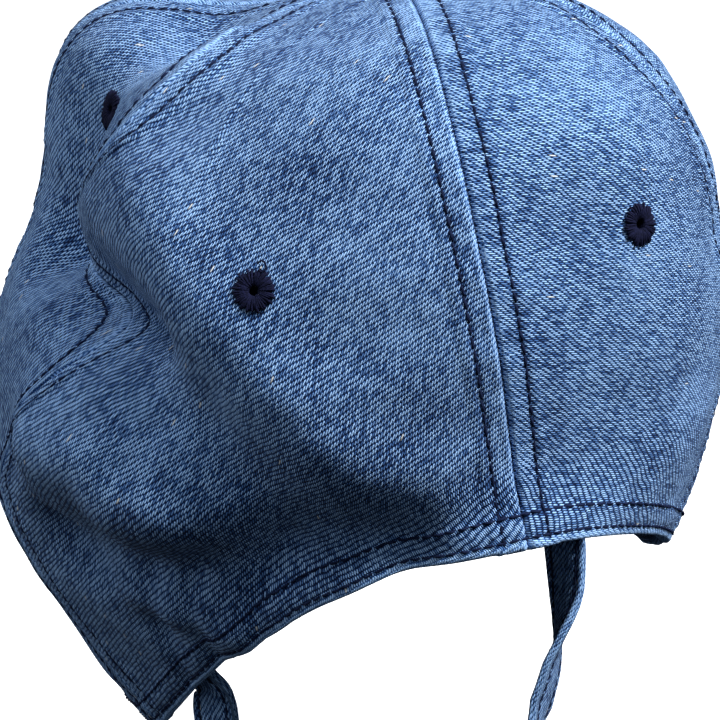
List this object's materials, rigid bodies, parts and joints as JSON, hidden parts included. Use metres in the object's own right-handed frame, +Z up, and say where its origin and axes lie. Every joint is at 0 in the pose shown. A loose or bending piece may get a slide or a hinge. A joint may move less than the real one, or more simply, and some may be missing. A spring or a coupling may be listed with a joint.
{
  "type": "baby cap",
  "caption": "Soft washed-denim baseball cap for a baby, sewn from gores with worked eyelets, a covered top button, a curved visor and a chin strap closed by a press stud.",
  "frame": {"origin": "centre of the head opening, level with the hem at the middle of the front", "axes": "+Z up through the crown, +Y forward towards the visor, +X towards the wearer's right ear"},
  "size_m": [0.1483, 0.2153, 0.1944],
  "materials": {
    "denim": "washed mid-blue twill, worn pale on seams and edges",
    "navy_thread": "satin-stitched navy thread",
    "cotton_tape": "navy herringbone cotton tape",
    "sweatband_twill": "soft cotton twill",
    "visor_board": "matt pale plastic sheet",
    "stud_metal": "dull nickel"
  },
  "bodies": {
    "crown": {"panel_back_left": "denim", "panel_back_right": "denim", "panel_side_left": "denim", "panel_side_right": "denim", "panel_front_left": "denim", "panel_front_right": "denim", "eyelet_back_left": "navy_thread", "eyelet_back_right": "navy_thread", "eyelet_side_left": "navy_thread", "eyelet_side_right": "navy_thread", "eyelet_front_left": "navy_thread", "eyelet_front_right": "navy_thread", "seam_tape_centre_back": "cotton_tape", "seam_tape_back_right": "cotton_tape", "seam_tape_front_right": "cotton_tape", "seam_tape_centre_front": "cotton_tape", "seam_tape_front_left": "cotton_tape", "seam_tape_back_left": "cotton_tape", "sweatband": "sweatband_twill", "top_button_shell": "denim", "top_button_tack": "stud_metal", "chin_strap_sewn_end_left": "denim", "chin_strap_sewn_end_right": "denim"},
    "visor": {"visor_top_cover": "denim", "visor_board": "visor_board", "visor_under_cover": "denim"},
    "chin_strap": {"chin_strap_left": "denim", "chin_strap_right": "denim", "press_stud_post": "stud_metal", "press_stud_ball": "stud_metal"},
    "strap_tab": {"chin_strap_tab": "denim", "press_stud_socket": "stud_metal", "press_stud_cap": "stud_metal"}
  },
  "joints": [
    {"name": "visor_flip", "type": "hinge", "parent": "crown", "child": "visor", "pos_m": [0, 0.083, -0.002], "axis": [1, 0, 0], "range_deg": [0, 65]},
    {"name": "chin_swing", "type": "hinge", "parent": "crown", "child": "chin_strap", "pos_m": [0, -0.0072, 0.006], "axis": [0.9511, 0.3072, 0.032], "range_deg": [-60, 30]},
    {"name": "tab_peel", "type": "hinge", "parent": "chin_strap", "child": "strap_tab", "pos_m": [-0.00332, -0.00827, -0.06004], "axis": [-0.3074, 0.9516, 0], "range_deg": [0, 100]}
  ]
}
